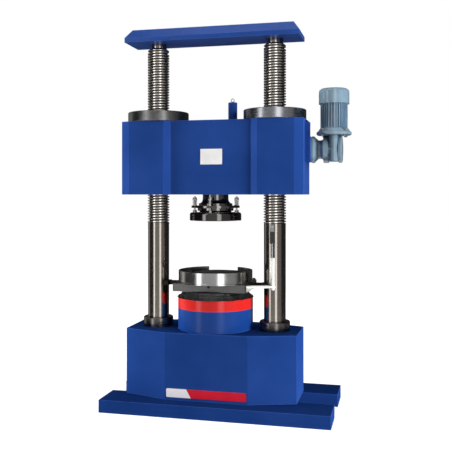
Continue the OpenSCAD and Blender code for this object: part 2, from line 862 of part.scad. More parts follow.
module crosshead_body() {
    color("#1e3f82") difference() {
        union() {
            difference() {
                translate([0, 0, head_z]) linear_extrude(head_height) polygon(head_plan(0));
                translate([0, 0, head_floor])
                    linear_extrude(head_roof - head_floor) polygon(head_plan(head_wall));
            }
            lay_shelves();
        }
        for (side = [-1, 1]) at_column(side) {
            bar(bush_d + 2 * fit, head_z - 1, head_floor + 1);
            bar(nut_hole_d + 2 * fit, head_roof - 1, head_top + 1);
        }
        translate([lay_x, out_y, 0]) bar(lay_d + 2 * fit, head_floor, head_roof);
        along_x(head_half_l - head_wall - 1) cylinder(d = out_d + 2 * fit, h = head_wall + 2);
    }
}

module column_bushes() {
    color("#a5814a") for (side = [-1, 1])
        at_column(side) tube(bush_d, thread_d + 2 * fit, head_z, head_floor);
}

// Disc that closes a nut opening and holds the upper thrust ring down.
module nut_cover(side) {
    r = cover_d / 2;
    z1 = head_top + cover_h;
    bore = thread_r + cover_gap;
    color("#2c2b2a") at_column(side) rotate_extrude() polygon([
        [bore, head_roof], [nut_hole_d / 2, head_roof], [nut_hole_d / 2, head_top],
        [r - 2, head_top], [r, head_top + 2], [r, z1 - 3], [r - 3, z1], [bore, z1]
    ]);
}

module thrust_rings() {
    inner = thread_d + 2 * cover_gap;
    color("silver") for (side = [-1, 1]) at_column(side) {
        tube(thrust_d, inner, head_floor, nut_z0);
        tube(thrust_d, inner, nut_z1, head_roof);
    }
}

// Bronze nut with its chain sprocket, running on the column's thread.
module lead_nut(side) {
    z = head_z + sprocket_z;
    r = sprocket_d / 2;
    teeth = 28;
    color("#b08a45") at_column(side) difference() {
        union() {
            bar(nut_d, nut_z0, nut_z1);
            translate([0, 0, z]) linear_extrude(sprocket_w) difference() {
                circle(r = r);
                for (i = [0:teeth - 1])
                    rotate(360 * i / teeth) translate([r + 1, 0]) circle(r = 5, $fn = 20);
            }
        }
        bar(thread_d + 2 * fit, nut_z0 - 1, nut_z1 + 1);
    }
}

// Roller chain round both sprockets, drawn as one closed belt of links.
module nut_chain() {
    inner = sprocket_d / 2 + 0.3;
    outer = inner + chain_t;
    color("#55524d") translate([0, 0, head_z + sprocket_z]) linear_extrude(sprocket_w) difference() {
        union() {
            square([2 * column_x, 2 * outer], center = true);
            for (side = [-1, 1]) translate([side * column_x, 0]) circle(r = outer);
        }
        square([2 * column_x, 2 * inner], center = true);
        for (side = [-1, 1]) translate([side * column_x, 0]) circle(r = inner);
    }
}

// Outline of a spur gear with straight-sided teeth.
module gear_outline(r, teeth, turn) {
    root = r - 0.62 * tooth;
    tip = r + 0.5 * tooth;
    step = 360 / teeth;
    polygon([for (i = [0:teeth - 1], p = [[-0.3, root], [-0.12, tip], [0.12, tip], [0.3, root]])
        let (a = turn + (i + p[0]) * step) p[1] * [cos(a), sin(a)]]);
}

module drive_gear() {
    turn = atan2(out_y, lay_x - column_x);
    color("#77736c") at_column(1) translate([0, 0, head_z + gear_z]) linear_extrude(gear_w) difference() {
        gear_outline(drive_r, gear_teeth, turn);
        circle(d = nut_d + 2 * fit);
    }
}

// Upright shaft with the bevel wheel and the spur pinion cut on it.
module layshaft() {
    slope = bevel_pinion_r;
    turn = atan2(out_y, lay_x - column_x) + 180 + 180 / pinion_teeth;
    color("#8c8c8a") translate([lay_x, out_y, 0]) {
        bar(lay_d, head_floor + 12, shaft_z + 58);
        translate([0, 0, head_z + gear_z]) linear_extrude(gear_w) gear_outline(pinion_r, pinion_teeth, turn);
        translate([0, 0, shaft_z - slope - 10]) cylinder(r = bevel_wheel_r - mesh_gap, h = 10);
        translate([0, 0, shaft_z - slope])
            cylinder(r1 = bevel_wheel_r - mesh_gap, r2 = bevel_wheel_r * 0.45 - mesh_gap, h = slope * 0.55);
    }
}

module output_shaft() {
    x0 = lay_x + bevel_wheel_r;
    cone = bevel_wheel_r * 0.35;
    color("#8c8c8a") {
        along_x(x0) cylinder(d = out_d, h = case_end - 12 - x0);
        along_x(x0 - cone)
            cylinder(r1 = bevel_pinion_r * 0.65 - mesh_gap, r2 = bevel_pinion_r - mesh_gap, h = cone);
    }
}

module reducer_wheel() {
    r = worm_offset - worm_r - mesh_gap;
    color("#b08a45") along_x(motor_x - 12) difference() {
        cylinder(r = r, h = 24);
        translate([0, 0, -1]) cylinder(d = out_d + 2 * fit, h = 26);
    }
}

// Thick plate on the crosshead's end, with a lug that rises at its front.
module motor_mount_plate() {
    z0 = -mount_drop;
    z1 = mount_h - mount_drop;
    color("#1e3f82") difference() {
        translate([head_half_l, 0, shaft_z]) rotate([90, 0, 90]) linear_extrude(mount_t) polygon([
            [-mount_half_w, z0], [mount_half_w, z0], [mount_half_w, -z0],
            [mount_lug - mount_half_w, -z0], [mount_lug - mount_half_w, z1], [-mount_half_w, z1]
        ]);
        along_x(head_half_l - 1) cylinder(d = out_d + 12, h = mount_t + 2);
    }
}

module gearbox_neck() {
    r = gear_case_d / 2;
    waist = neck_waist_d / 2;
    bore = out_d / 2 + 12;
    along_x(mount_x) color("#6d8795") rotate_extrude() polygon([
        [bore, 0], [r, 0], [r, 12], [r - 6, 18], [waist, neck_l * 0.55], [waist, neck_l * 0.75],
        [waist + 6, neck_l], [bore, neck_l]
    ]);
}

// Housing with the wheel chamber along X and the upright worm tube.
module gearbox_housing() {
    r = gear_case_d / 2;
    body_w = case_w - case_cover_w;
    color("#6d8795") difference() {
        union() {
            along_x(case_x) cylinder(r = r, h = case_flange_w);
            along_x(case_x) cylinder(r = r - 14, h = body_w);
            for (i = [0:case_ribs - 1])
                along_x(case_x + case_flange_w - 1) rotate([0, 0, 360 * (i + 0.5) / case_ribs])
                    translate([r - 18, -2.5, 0]) cube([14, 5, body_w - case_flange_w - 1]);
            difference() {
                at_motor() bar(2 * worm_r + 34, shaft_z - r + 8, motor_z);
                along_x(case_x + body_w) cylinder(r = 2 * r, h = case_cover_w + 20);
            }
        }
        along_x(case_x + 14) cylinder(r = r - 21.5, h = case_w);
        along_x(case_x - 1) cylinder(d = out_d + 2 * fit, h = 20);
        at_motor() bar(2 * worm_r + 14, shaft_z - r + 20, motor_z - 20);
        at_motor() bar(shaft_d + 2 * fit, shaft_z - r + 14, motor_z + 1);
    }
}

module gearbox_cover() {
    r = gear_case_d / 2;
    w = case_cover_w;
    along_x(case_end - w) color("#7b96a4") difference() {
        rotate_extrude() polygon([
            [0, 0], [r - 4, 0], [r, 4], [r, w - 6], [r - 4, w - 2], [r - 22, w - 2], [r - 26, w], [0, w]
        ]);
        translate([0, 0, -1]) cylinder(d = out_d + 2 * fit, h = w - 11);
        for (i = [0:7]) rotate([0, 0, 45 * i + 22.5])
            translate([r - 12, 0, w - 8]) cylinder(d = 9, h = 10, $fn = 32);
    }
}

module motor_flange() {
    r = flange_d / 2;
    h = flange_h;
    color("#5c7688") at_motor() translate([0, 0, motor_z]) difference() {
        rotate_extrude() polygon([
            [shaft_d / 2 + fit, 0], [r - 4, 0], [r, 5], [r, 16], [r - 8, 22], [motor_d / 2 + 4, h - 4],
            [motor_d / 2 - 2, h], [shaft_d / 2 + fit, h]
        ]);
        for (i = [0:3]) rotate([0, 0, 45 + 90 * i])
            translate([r - 12, 0, -1]) cylinder(d = 12, h = h + 2, $fn = 32);
    }
}

// Finned stator housing, hollow for the rotor, with the end shield that carries the cowl.
module motor_housing() {
    core = motor_d / 2 - fin_h;
    color("#5c7688") at_motor() translate([0, 0, body_z]) difference() {
        union() {
            linear_extrude(motor_h) {
                circle(r = core);
                for (i = [0:fins - 1]) rotate(360 * (i + 0.5) / fins)
                    translate([core - 2, -fin_t / 2]) square([fin_h + 2, fin_t]);
            }
            bar(cowl_d - 2 * cowl_t - 2 * fit, motor_h, motor_h + shield_t);
        }
        bar(rotor_d + 2, 12, motor_h - 12);
        bar(shaft_d + 2 * fit, -1, motor_h + shield_t + 1);
    }
}

// Drawn steel cowl with an air grille of round holes in its crown.
module fan_cowl() {
    r = cowl_d / 2;
    c = cowl_round;
    t = cowl_t;
    color("#5c7688") at_motor() translate([0, 0, cowl_z]) difference() {
        rotate_extrude() polygon(concat(
            [[r - t, 0], [r, 0]],
            corner([r - c, cowl_h - c], c, 0, 90),
            [[0, cowl_h], [0, cowl_h - t]],
            corner([r - c, cowl_h - c], c - t, 90, 0)
        ));
        for (ring = [1:3], i = [0:6 * ring - 1]) rotate([0, 0, 60 * i / ring])
            translate([16 * ring, 0, cowl_h - 6]) cylinder(d = 9, h = 8, $fn = 20);
    }
}

// Cast box on the motor's back, with its cable gland underneath.
module terminal_box() {
    w = 86;
    d = 46;
    h = 80;
    y0 = motor_d / 2 - 3;
    z0 = body_z + 34;
    color("#5c7688") at_motor() difference() {
        translate([-w / 2, y0, z0]) cube([w, d, h]);
        translate([6 - w / 2, y0 + 6, z0 + 6]) cube([w - 12, d - 12, h - 12]);
        bar(motor_d + 2 * fit, body_z, cowl_z);
    }
    color("#2a2a2c") at_motor() translate([0, y0 + d / 2, z0 - 20]) {
        difference() {
            cylinder(d = 22, h = 20, $fn = 48);
            translate([0, 0, -1]) cylinder(d = 11, h = 22, $fn = 32);
        }
    }
}

module motor_rotor() {
    core_z = body_z + 16;
    color("#8c8c8a") at_motor() {
        bar(shaft_d, shaft_z - gear_case_d / 2 + 16, cowl_z + shield_t + 50);
        bar(2 * worm_r, shaft_z - 32, shaft_z + 32);
        bar(rotor_d, core_z, core_z + motor_h - 32);
    }
}

module motor_fan() {
    h = 44;
    tip = cowl_d / 2 - 16;
    color("#26282b") at_motor() translate([0, 0, cowl_z + shield_t + 4]) difference() {
        union() {
            cylinder(r = hub_r + 3, h = h);
            cylinder(r = tip, h = 4);
            for (i = [0:blades - 1]) rotate([0, 0, 360 * i / blades])
                translate([hub_r, -1.5, 2]) cube([tip - hub_r - 2, 3, h - 4]);
        }
        translate([0, 0, -1]) cylinder(d = shaft_d + 2 * fit, h = h + 2);
    }
}

module lifting_post() {
    r = post_d / 2;
    z1 = head_top + post_h;
    color("#1e3f82") translate([post_x, 0, 0]) difference() {
        rotate_extrude() polygon([[0, head_top], [r, head_top], [r, z1 - 3], [r - 3, z1], [0, z1]]);
        bar(8 + 2 * fit, z1 - 20, z1 + 1);
    }
}

module lifting_eye() {
    z1 = head_top + post_h;
    mean = (eye_d - eye_wire) / 2;
    color("silver") translate([post_x, 0, z1]) {
        bar(8, -18, eye_wire);
        cylinder(d = 16, h = 2);
        translate([0, 0, eye_d / 2 + 1]) rotate([90, 0, 0])
            rotate_extrude() translate([mean, 0]) circle(d = eye_wire, $fn = 24);
    }
}

// Neck and cup: straight under the crosshead, flared to the hanger ring.
module seat_holder() {
    r0 = seat_neck_d / 2;
    r1 = seat_flare_d / 2;
    z1 = head_z - seat_neck_h;
    z2 = hanger_top + seat_rim_h;
    sweep = [for (i = [0:6]) let (a = 15 * i) [r1 - (r1 - r0) * sin(a), z2 + (z1 - z2) * (1 - cos(a))]];
    color("#3a3938") difference() {
        rotate_extrude() polygon(concat(
            [[0, cup_z], [seat_cup_d / 2 - 2, cup_z], [seat_cup_d / 2, cup_z + 2],
             [seat_cup_d / 2, hanger_z], [r1, hanger_z]],
            sweep,
            [[r0, head_z], [0, head_z]]
        ));
        translate([0, 0, platen_z]) sphere(r = cup_r, $fn = 128);
    }
}

module hanger_ring() {
    color("#3a3938") difference() {
        tube(hanger_ring_d, seat_flare_d + 2 * fit, hanger_z, hanger_top);
        for (i = [0:3]) rotate([0, 0, 90 * i])
            translate([hanger_r, 0, 0]) bar(hanger_d + 12, hanger_z - 1, hanger_top + 1);
    }
}

// Thin spherical shell that slides in the cup and under the ball.
module seat_liner() {
    outer = cup_r - ball_gap;
    color("#b08a45") difference() {
        intersection() {
            translate([0, 0, platen_z]) sphere(r = outer, $fn = 128);
            bar(3 * outer, cup_z + 6, platen_z + ball_flat);
        }
        translate([0, 0, platen_z]) sphere(r = outer - liner_t, $fn = 128);
    }
}

module ball_segment() {
    color("#6a6866") intersection() {
        translate([0, 0, platen_z]) sphere(r = ball_r, $fn = 128);
        bar(3 * ball_r, platen_top, platen_z + ball_flat - 6);
    }
}

module upper_platen() {
    r = upper_d / 2;
    top = platen_top;
    e = 2 * platen_round;
    color("#302f2e") difference() {
        rotate_extrude() polygon(concat(
            [[0, platen_z], [r - 3, platen_z], [r, platen_z + 3]],
            corner([r - e, top - e], e, 0, 90),
            [[0, top]]
        ));
        for (i = [0:3]) rotate([0, 0, 90 * i])
            translate([hanger_r, 0, 0]) bar(hanger_d + 2 * fit, top - hanger_depth, top + 1);
    }
}

module hanger_bolts() {
    z1 = hanger_top + hanger_rise;
    color("#9a9a98") for (i = [0:3]) rotate([0, 0, 90 * i]) translate([hanger_r, 0, 0]) {
        bar(hanger_d, platen_top - hanger_depth, z1);
        translate([0, 0, z1 - 8 - hanger_nut_h])
            cylinder(d = hanger_nut_af / cos(30), h = hanger_nut_h, $fn = 6);
        translate([0, 0, z1 - 11 - hanger_nut_h]) cylinder(d = spring_d + spring_wire + 1, h = 3);
        translate([0, 0, platen_top]) cylinder(d = hanger_nut_af / cos(30), h = hanger_jam_h, $fn = 6);
    }
}

// Round wire swept along a coil, with its end turns closed flat.
module coil(d, wire, z0, z1, turns) {
    steps = 14 * turns;
    sides = 6;
    rise = z1 - z0 - wire;
    ring = function (i)
        let (t = i / steps, a = 360 * turns * t)
        [for (s = [0:sides - 1])
            let (b = 360 * s / sides, r = d / 2 + wire / 2 * cos(b))
            [r * cos(a), r * sin(a), z0 + wire / 2 + rise * t + wire / 2 * sin(b)]];
    points = [for (i = [0:steps]) each ring(i)];
    skin = [for (i = [0:steps - 1], s = [0:sides - 1])
        let (a = i * sides, b = a + sides, next = (s + 1) % sides)
        [a + s, a + next, b + next, b + s]];
    polyhedron(points, concat(
        [[for (s = [sides - 1:-1:0]) s]],
        skin,
        [[for (s = [0:sides - 1]) steps * sides + s]]
    ));
}

module hanger_springs() {
    z1 = hanger_top + hanger_rise - 11 - hanger_nut_h;
    color("silver") for (i = [0:3]) rotate([0, 0, 90 * i]) translate([hanger_r, 0, 0])
        coil(spring_d, spring_wire, hanger_top + 0.3, z1 - 0.3, spring_turns);
}

skid(-1);  // front_skid
skid(1);  // rear_skid
base_housing();
rear_cover();
oil_port_block();
column(-1);  // left_column
column(1);  // right_column
column_collar(-1, 0);  // left_column_collar
column_collar(1, 30);  // right_column_collar
column_lock_nuts();
top_beam();
main_cylinder();
gland_ring();
cylinder_seals();
sensor_clip();
sensor_head();
sensor_rod();
name_strip();
dust_boot();
ram();
ram_plate();
lower_platen();
dust_ring();
guide_arm(-1);  // left_guide_arm
guide_arm(1);  // right_guide_arm
stop_bolt();
sensor_bracket();
sensor_sleeve();
crosshead_body();
column_bushes();
nut_cover(-1);  // left_nut_cover
nut_cover(1);  // right_nut_cover
thrust_rings();
nut_chain();
motor_mount_plate();
gearbox_neck();
gearbox_housing();
gearbox_cover();
motor_flange();
motor_housing();
fan_cowl();
terminal_box();
lifting_post();
lifting_eye();
crosshead_badge();
seat_holder();
hanger_ring();
lead_nut(-1);  // left_lead_nut
lead_nut(1);  // right_lead_nut
drive_gear();
layshaft();
output_shaft();
reducer_wheel();
motor_rotor();
motor_fan();
seat_liner();
ball_segment();
upper_platen();
hanger_bolts();
hanger_springs();
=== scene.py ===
import math

import bpy
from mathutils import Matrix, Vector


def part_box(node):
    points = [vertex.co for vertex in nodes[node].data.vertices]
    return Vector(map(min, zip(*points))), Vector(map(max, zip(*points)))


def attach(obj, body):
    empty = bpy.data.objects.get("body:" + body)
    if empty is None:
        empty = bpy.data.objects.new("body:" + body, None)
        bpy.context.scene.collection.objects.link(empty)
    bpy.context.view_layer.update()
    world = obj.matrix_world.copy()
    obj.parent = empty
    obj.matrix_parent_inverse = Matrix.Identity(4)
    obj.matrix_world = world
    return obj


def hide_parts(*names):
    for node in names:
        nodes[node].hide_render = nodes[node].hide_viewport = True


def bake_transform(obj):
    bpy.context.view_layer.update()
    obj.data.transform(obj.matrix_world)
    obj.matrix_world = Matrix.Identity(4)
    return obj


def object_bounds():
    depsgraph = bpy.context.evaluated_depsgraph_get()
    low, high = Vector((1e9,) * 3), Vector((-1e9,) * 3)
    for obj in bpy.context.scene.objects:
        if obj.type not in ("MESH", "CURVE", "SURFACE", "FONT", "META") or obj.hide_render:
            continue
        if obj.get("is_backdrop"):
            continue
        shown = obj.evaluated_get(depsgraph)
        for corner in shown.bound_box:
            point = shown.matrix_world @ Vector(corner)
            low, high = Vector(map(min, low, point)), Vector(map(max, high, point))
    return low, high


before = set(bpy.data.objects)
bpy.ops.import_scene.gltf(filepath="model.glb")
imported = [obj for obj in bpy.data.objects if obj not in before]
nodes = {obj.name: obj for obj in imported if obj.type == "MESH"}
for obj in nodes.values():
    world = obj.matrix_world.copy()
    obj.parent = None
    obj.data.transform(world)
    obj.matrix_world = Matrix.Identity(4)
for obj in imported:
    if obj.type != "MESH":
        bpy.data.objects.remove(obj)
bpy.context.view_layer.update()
print("frame loaded,", len(nodes), "CAD nodes")

machine = {  # metres, as all sizes here
    "columnX": 0.361,
    "columnRadius": 0.0645,
    "threadRadius": 0.066,
    "threadStart": 1.092,
    "threadEnd": 2.139,
    "motorX": 0.710,
    "motorY": -0.025,
    "shaftY": 0.025,
    "shaftZ": 1.523,
}


# small helpers for modelling
def clearSelection():
    if bpy.context.mode != "OBJECT":
        bpy.ops.object.mode_set(mode="OBJECT")
    bpy.ops.object.select_all(action="DESELECT")


def takeActive(piece):
    clearSelection()
    piece.select_set(True)
    bpy.context.view_layer.objects.active = piece


def settle(piece, name):  # name it and put its place into its mesh
    piece.name = name
    piece.data.name = name
    takeActive(piece)
    bpy.ops.object.transform_apply(location=True, rotation=True, scale=True)
    return piece


def pick(piece, test, kind="VERT"):  # select vertices or faces by their place, in edit mode
    bpy.ops.mesh.select_mode(type=kind)
    bpy.ops.mesh.select_all(action="DESELECT")
    bpy.ops.object.mode_set(mode="OBJECT")
    if kind == "VERT":
        for v in piece.data.vertices:
            v.select = test(v.co)
    else:
        for f in piece.data.polygons:
            f.select = test(f.center, f.normal)
    bpy.ops.object.mode_set(mode="EDIT")


def turned(name, profile, sides=96, closed=True):  # rings stacked by extrude and resize
    clearSelection()
    radius, height = profile[0]
    bpy.ops.mesh.primitive_circle_add(vertices=sides, radius=radius, location=(0, 0, height),
                                      fill_type="NGON" if closed else "NOTHING")
    piece = bpy.context.object
    bpy.ops.object.transform_apply(location=True)
    bpy.ops.object.mode_set(mode="EDIT")
    bpy.ops.mesh.select_all(action="SELECT")
    for nextRadius, nextHeight in profile[1:]:
        step = {"value": (0, 0, nextHeight - height)}
        if closed:
            bpy.ops.mesh.extrude_region_move(TRANSFORM_OT_translate=step)
        else:
            bpy.ops.mesh.extrude_edges_move(TRANSFORM_OT_translate=step)
        grow = nextRadius / radius
        bpy.ops.transform.resize(value=(grow, grow, 1), center_override=(0, 0, nextHeight))
        radius, height = nextRadius, nextHeight
    if closed:
        bpy.ops.mesh.select_all(action="SELECT")
        bpy.ops.mesh.normals_make_consistent(inside=False)
    bpy.ops.object.mode_set(mode="OBJECT")
    return settle(piece, name)


def addModifier(piece, kind, **settings):
    takeActive(piece)
    modifier = piece.modifiers.new(kind.title(), kind)
    for key, value in settings.items():
        setattr(modifier, key, value)
    bpy.ops.object.modifier_apply(modifier=modifier.name)


def joined(name, parts):
    clearSelection()
    for part in parts:
        part.select_set(True)
    bpy.context.view_layer.objects.active = parts[0]
    bpy.ops.object.join()
    return settle(bpy.context.object, name)


def copied(source, place, turn):
    twin = source.copy()
    twin.data = source.data.copy()
    bpy.context.collection.objects.link(twin)
    twin.location = place
    twin.rotation_euler = [math.radians(a) for a in turn]
    return twin


def smooth(piece, angle):
    takeActive(piece)
    bpy.ops.object.shade_smooth_by_angle(angle=math.radians(angle))


def remove(piece):
    bpy.data.objects.remove(piece)


# materials
def fromScreen(*levels):  # a colour as seen on screen, made linear
    linear = [(c / 255 / 12.92) if c < 10 else ((c / 255 + 0.055) / 1.055) ** 2.4 for c in levels]
    return linear + [1]


def toned(colour, factor, lift=0.0):
    return [min(1, c * factor + lift) for c in colour[:3]] + [1]


class Flow:  # a node's output that can be reckoned with
    def __init__(self, nodeSet, socket):
        self.nodeSet = nodeSet
        self.socket = socket

    def reckon(self, operation, *others):
        maths = self.nodeSet.tree.nodes.new("ShaderNodeMath")
        maths.operation = operation
        for i, value in enumerate((self, *others)):
            self.nodeSet.feed(maths.inputs[i], value)
        return Flow(self.nodeSet, maths.outputs[0])

    def __add__(self, other):
        return self.reckon("ADD", other)

    def __sub__(self, other):
        return self.reckon("SUBTRACT", other)

    def __rsub__(self, other):
        return (self * -1) + other

    def __mul__(self, other):
        return self.reckon("MULTIPLY", other)

    def __gt__(self, other):
        return self.reckon("GREATER_THAN", other)

    def __lt__(self, other):
        return self.reckon("LESS_THAN", other)

    __radd__ = __add__
    __rmul__ = __mul__

    def limited(self, low, high):  # low..high mapped to 0..1
        return self.nodeSet.node("MapRange", Value=self, From_Min=low, From_Max=high)


class NodeSet:  # the node tree of the world or of a material
    def __init__(self, tree):
        self.tree = tree

    def feed(self, socket, value):
        if isinstance(value, Flow):
            self.tree.links.new(value.socket, socket)
        else:
            socket.default_value = value

    def node(self, kind, output=0, settings=None, **inputs):
        made = self.tree.nodes.new("ShaderNode" + kind)
        for key, value in (settings or {}).items():
            setattr(made, key, value)
        for key, value in inputs.items():
            self.feed(made.inputs[key.replace("_", " ")], value)
        return Flow(self, made.outputs[output])

    def axis(self, letter, vector):
        return self.node("SeparateXYZ", output=letter, Vector=vector)

    def seen(self):  # 1 where the camera looks, straight, in a mirror or through glass, and 0 for light
        camera = self.node("LightPath", output="Is Camera Ray")
        mirrored = self.node("LightPath", output="Is Glossy Ray")
        through = self.node("LightPath", output="Is Transmission Ray")
        return camera.reckon("MAXIMUM", mirrored).reckon("MAXIMUM", through)


class Finish(NodeSet):  # one material
    def __init__(self, name, **fixed):
        self.material = bpy.data.materials.new(name)
        self.material.use_nodes = True
        super().__init__(self.material.node_tree)
        self.shader = self.tree.nodes["Principled BSDF"]
        self.set(**fixed)

    def set(self, **values):
        for key, value in values.items():
            self.feed(self.shader.inputs[key.replace("_", " ")], value)

    def place(self, scale=(1, 1, 1)):  # Object coordinates, scaled
        here = self.node("TexCoord", output="Object")
        return self.node("Mapping", Vector=here, Scale=scale)

    def upward(self, low):  # 0 on walls and 1 on faces that look straight up
        return self.axis("Z", self.node("NewGeometry", output="Normal")).limited(low, 1.0)

    def noise(self, scale, detail, rough=0.5, stretch=(1, 1, 1)):
        here = self.place(stretch)
        return self.node("TexNoise", Vector=here, Scale=scale, Detail=detail, Roughness=rough)

    def mix(self, share, first, second):
        blend = self.tree.nodes.new("ShaderNodeMix")
        blend.data_type = "RGBA"
        self.feed(blend.inputs[0], share)
        self.feed(blend.inputs[6], first)
        self.feed(blend.inputs[7], second)
        return Flow(self, blend.outputs[2])

    def rounded(self, radius):  # the normal with its edges rounded off
        return self.node("Bevel", settings={"samples": 4}, Radius=radius)

    def edges(self, width):  # about 0 on a flat face and towards 1 on an edge, where wear and a painted highlight go
        flat = self.node("NewGeometry", output="Normal")
        dot = self.tree.nodes.new("ShaderNodeVectorMath")
        dot.operation = "DOT_PRODUCT"
        self.feed(dot.inputs[0], self.rounded(width))
        self.feed(dot.inputs[1], flat)
        return (1 - Flow(self, dot.outputs["Value"])).limited(0.003, 0.09)

    def relief(self, height, distance, strength, rounding):
        soft = self.rounded(rounding)
        self.set(Normal=self.node("Bump", Height=height, Distance=distance, Strength=strength, Normal=soft))


def painted(name, colour, rough=0.36, coat=0.03, coatRough=0.12, gloss=0.13, edgeWearAndHighlight=0.9, paintedTopShade=0.0):
    paint = Finish(name, Coat_Weight=coat, Coat_Roughness=coatRough, Specular_IOR_Level=gloss)
    cloud = paint.noise(3.1, 4.0)
    speck = paint.noise(210.0, 2.0).limited(0.3, 0.7) * 0.5 + 0.5
    shade = paint.mix(cloud.limited(0.3, 0.7), toned(colour, 0.86), toned(colour, 1.1, 0.004))
    if paintedTopShade:  # painted shade: the faces that look up are darkened
        shade = paint.mix(paint.upward(0.5) * paintedTopShade, shade, toned(colour, 0.2))
    rounding = 0.002
    # the edges are lightened: partly rubbed paint, partly a painted highlight
    wornEdgeAndHighlight = paint.edges(rounding * 3) * speck * edgeWearAndHighlight
    paint.set(Base_Color=paint.mix(wornEdgeAndHighlight, shade, toned(colour, 2, 0.03)))
    paint.set(Roughness=rough + (cloud - 0.5) * 0.12 + wornEdgeAndHighlight * 0.15)
    paint.relief(paint.noise(520.0, 1.0), 0.00012, 0.6, rounding)  # a faint orange peel
    return paint.material


def machined(name, dark, light, rough, lines, streak=0.0):
    steel = Finish(name, Metallic=1.0)
    wide = steel.noise(6.0, 5.0)
    fine = steel.noise(1.0, 3.0, stretch=lines)
    share = wide.limited(0.25, 0.75) * 0.6 + fine.limited(0.3, 0.7) * 0.4
    rounding = 0.001
    # the edges are lightened: partly wear, partly a painted highlight
    wornEdgeAndHighlight = steel.edges(rounding * 2) * 0.6
    steel.set(Base_Color=steel.mix(wornEdgeAndHighlight, steel.mix(share, dark, light), toned(light, 1.5, 0.03)))
    stain = steel.noise(14.0, 6.0, 0.65).limited(0.5, 0.8) * streak
    steel.set(Roughness=rough + (fine - 0.5) * 0.16 + stain)
    steel.relief(fine, 0.00015, 0.5, rounding)
    return steel.material


def columnFinish():  # polished steel, darker low in the thread's grooves: grease and painted shade
    steel = Finish("columnSteel", Metallic=1.0)
    here = steel.place()
    across = steel.axis("X", here).reckon("ABSOLUTE") - machine["columnX"]
    deep = steel.axis("Y", here)
    height = steel.axis("Z", here)
    radius = (across * across + deep * deep).reckon("SQRT")
    cut = (height > machine["threadStart"]) * (height < machine["threadEnd"])
    crest = machine["threadRadius"]
    # darker towards the root of the thread: grease and painted shade
    greaseAndGrooveShade = cut * (1 - radius.limited(crest - 0.0095, crest - 0.0040))
    wide = steel.noise(5.0, 4.0)
    fine = steel.noise(1.0, 3.0, stretch=(2, 2, 700))
    share = wide.limited(0.25, 0.75) * 0.5 + fine.limited(0.3, 0.7) * 0.3
    bare = steel.mix(share, fromScreen(124, 117, 110), fromScreen(148, 141, 134))
    bare = steel.mix(cut * 0.8, bare, fromScreen(226, 220, 213))
    steel.set(Base_Color=steel.mix(greaseAndGrooveShade * 0.85, bare, fromScreen(16, 15, 14)))
    steel.set(Roughness=0.17 + (fine - 0.5) * 0.1 + cut * 0.08 + greaseAndGrooveShade * 0.2)
    steel.relief(fine, 0.0001, 0.4, 0.0006)
    return steel.material


def cast(name, colour):  # painted cast iron, with dust on the faces that look up
    iron = Finish(name, Coat_Weight=0.6, Coat_Roughness=0.14)
    grit = iron.noise(260.0, 5.0, 0.6)
    cloud = iron.noise(9.0, 4.0)
    dust = iron.upward(0.2) * grit.limited(0.4, 0.7) * 0.45
    shade = iron.mix(cloud.limited(0.3, 0.7), toned(colour, 0.8), toned(colour, 1.18))
    iron.set(Base_Color=iron.mix(dust, shade, toned(colour, 1.25, 0.04)), Roughness=0.3 + (grit - 0.5) * 0.2)
    iron.relief(grit, 0.0004, 0.5, 0.0025)
    return iron.material


blueFrame = painted("frameBlue", fromScreen(30, 66, 138), coat=0.0, gloss=0.04)
# base and skids: painted shade darkens the faces that look up
blueBase = painted("baseBlue", fromScreen(32, 68, 141), coat=0.0, gloss=0.0, paintedTopShade=0.7)
blueSkid = painted("skidBlue", fromScreen(29, 65, 137), coat=0.0, gloss=0.0, paintedTopShade=0.75)
blueBright = painted("brightBlue", fromScreen(25, 62, 133), coat=0.04, gloss=0.2)
blueCylinder = painted("cylinderBlue", fromScreen(18, 60, 132), coat=0.18, coatRough=0.2, gloss=0.12)
columnSteel = columnFinish()
ringRed = painted("glandRed", fromScreen(209, 30, 26), rough=0.35, coat=0.36, coatRough=0.16,
                  gloss=0.2)
armBlack = painted("armBlack", fromScreen(24, 23, 23), rough=0.4, coat=0.1)
sensorWhite = painted("sensorWhite", fromScreen(232, 232, 228), rough=0.4, edgeWearAndHighlight=0.0)
stopGreen = painted("stopGreen", fromScreen(92, 98, 86), rough=0.45)
motorPaint = cast("motorBlueGrey", fromScreen(109, 133, 149))
# painted light: the finned housing gets a lighter copy of the motor paint, to make up for the shade between
# its fins
finnedLighterPaint = cast("finnedBlueGreyLightened", fromScreen(123, 152, 174))
collarSteel = machined("collarSteel", fromScreen(72, 71, 70), fromScreen(106, 104, 102),
                       0.22, (4, 4, 600), streak=0.1)
darkSteel = machined("darkSteel", fromScreen(86, 86, 86), fromScreen(120, 119, 118),
                     0.3, (5, 5, 700), streak=0.25)
# painted light: a lighter copy of the dark steel for the right nut cover alone, which is the same steel as
# the left
litCoverSteel = machined("litCoverSteel", fromScreen(116, 118, 123), fromScreen(154, 156, 161),
                      0.25, (5, 5, 700), streak=0.1)
seatSteel = machined("seatSteel", fromScreen(74, 72, 70), fromScreen(116, 114, 112),
                     0.09, (3, 3, 400), streak=0.05)
plateSteel = machined("plateSteel", fromScreen(84, 84, 84), fromScreen(116, 115, 114),
                      0.38, (500, 7, 7), streak=0.25)
platenSteel = machined("platenSteel", fromScreen(62, 61, 60), fromScreen(92, 90, 88),
                       0.08, (2, 2, 400), streak=0.03)
brightSteel = machined("brightSteel", fromScreen(158, 158, 156), fromScreen(190, 190, 187),
                       0.18, (3, 3, 700), streak=0.08)
rodSteel = machined("rodSteel", fromScreen(120, 122, 124), fromScreen(160, 162, 164),
                    0.2, (8, 8, 600))
bronze = machined("bronze", fromScreen(150, 110, 60), fromScreen(190, 150, 88),
                  0.32, (6, 6, 600), streak=0.2)


